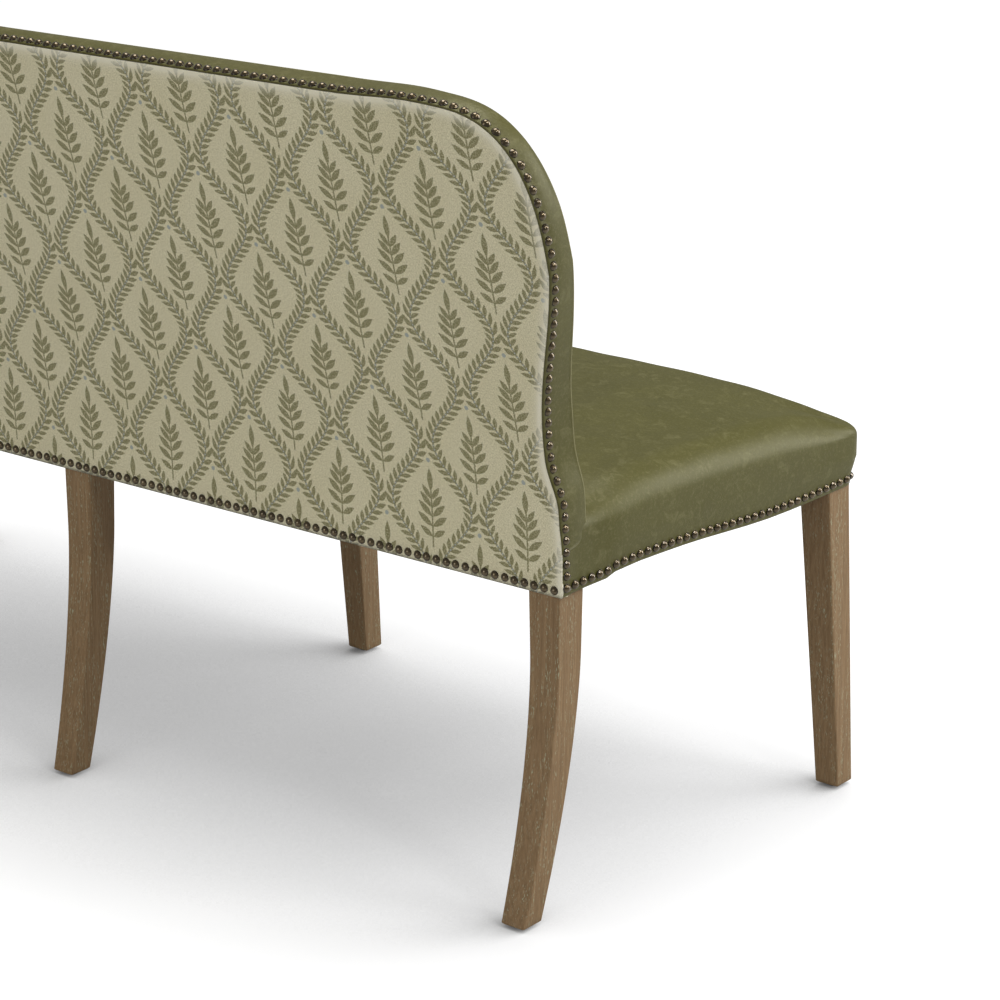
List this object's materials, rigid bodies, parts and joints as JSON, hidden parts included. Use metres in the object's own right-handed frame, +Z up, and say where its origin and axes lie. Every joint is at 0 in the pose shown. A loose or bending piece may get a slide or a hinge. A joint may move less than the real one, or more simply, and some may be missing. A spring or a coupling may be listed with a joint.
{
  "type": "bench",
  "caption": "Upholstered dining bench with a raked, shaped back; leather seat and inside back, printed fabric outside back, domed nail trim, curved oak legs.",
  "frame": {"origin": "on the floor, below the middle of the bounding box", "axes": "+Z up, +X along the bench, the sitter faces -Y and the back is at +Y"},
  "size_m": [1.5994, 0.6758, 0.9613],
  "materials": {
    "oak": "satin",
    "frame_wood": "matte",
    "leather": "satin",
    "fabric": "matte",
    "nails": "antique bronze, satin",
    "glides": "matte",
    "steel": "zinc plated",
    "webbing": "matte",
    "deck_cloth": "matte",
    "foam": "matte",
    "black_cloth": "matte"
  },
  "bodies": {
    "root": {"rear_leg_left": "oak", "rear_leg_middle": "oak", "rear_leg_right": "oak", "front_leg_left": "oak", "front_leg_middle": "oak", "front_leg_right": "oak", "glides": "glides", "front_rail": "frame_wood", "rear_rail_left": "frame_wood", "rear_rail_right": "frame_wood", "end_rail_left": "frame_wood", "end_rail_right": "frame_wood", "centre_rail": "frame_wood", "corner_blocks": "frame_wood", "block_screws": "steel", "cross_webbing": "webbing", "long_webbing": "webbing", "deck_cloth": "deck_cloth", "seat_foam": "foam", "seat_cover": "leather", "seat_border": "leather", "dust_cover": "black_cloth", "dust_cover_staples": "steel", "back_top_rail": "frame_wood", "back_lower_rail_left": "frame_wood", "back_lower_rail_right": "frame_wood", "back_ear_left": "frame_wood", "back_ear_right": "frame_wood", "back_webbing": "webbing", "back_foam": "foam", "inside_back_cover": "leather", "back_band": "leather", "outside_back_panel": "fabric", "back_edge_nails": "nails", "rear_rail_nails": "nails", "seat_edge_nails": "nails"}
  },
  "joints": []
}
